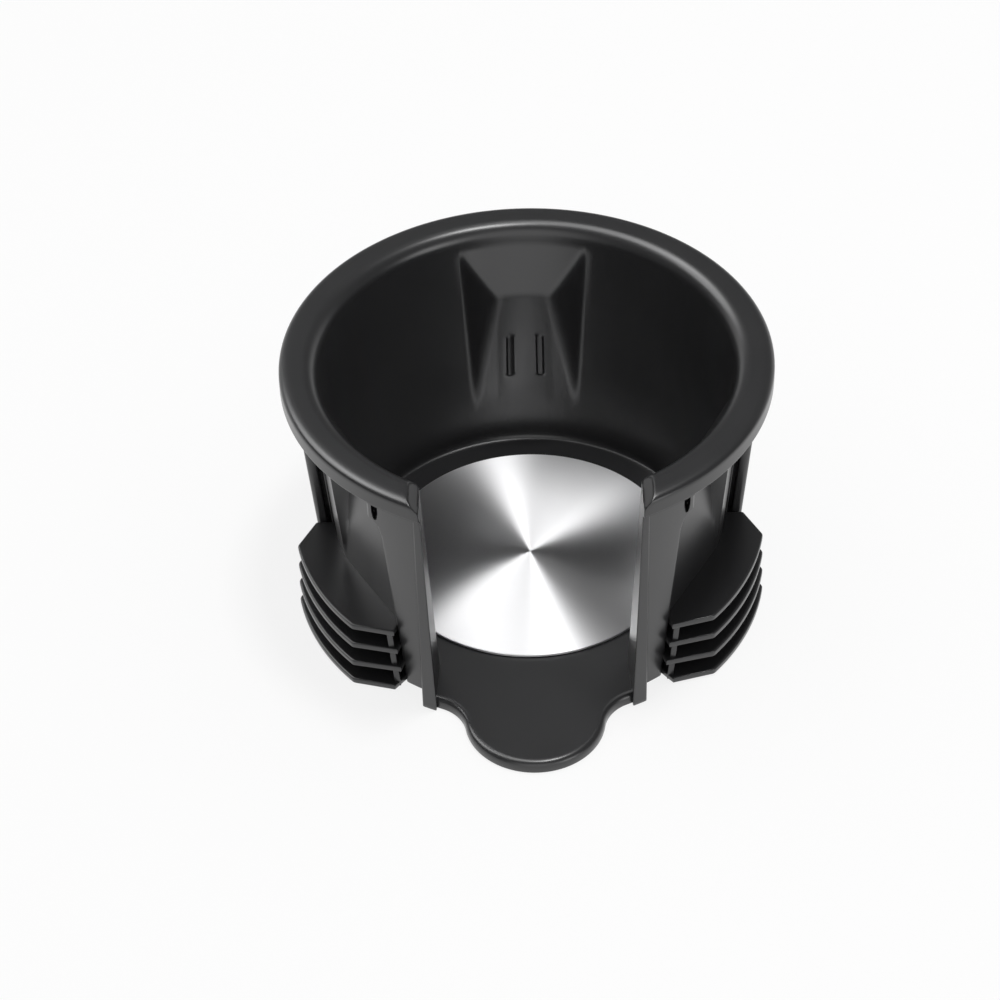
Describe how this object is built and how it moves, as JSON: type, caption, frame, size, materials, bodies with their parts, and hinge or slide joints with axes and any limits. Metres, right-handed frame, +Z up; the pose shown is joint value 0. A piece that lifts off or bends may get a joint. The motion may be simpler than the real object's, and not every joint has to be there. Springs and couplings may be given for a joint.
{
  "type": "car cup holder",
  "caption": "Round tapered cup holder insert with a flat rim, an open front for a mug handle, a finger tab, side fins and a metal disc on its floor.",
  "frame": {"origin": "on the cup's axis, in the plane of the flat underside", "axes": "+Z up along the cup's axis, -Y towards the open front and the tab, +X to the right seen from the front"},
  "size_m": [0.095, 0.1055, 0.055],
  "materials": {
    "moulding": "black, finely textured, satin",
    "disc": "turned face with fine concentric lines",
    "adhesive": "thin dark adhesive film"
  },
  "bodies": {
    "root": {"holder_body": "moulding", "base_disc": "disc", "disc_adhesive": "adhesive"}
  },
  "joints": []
}
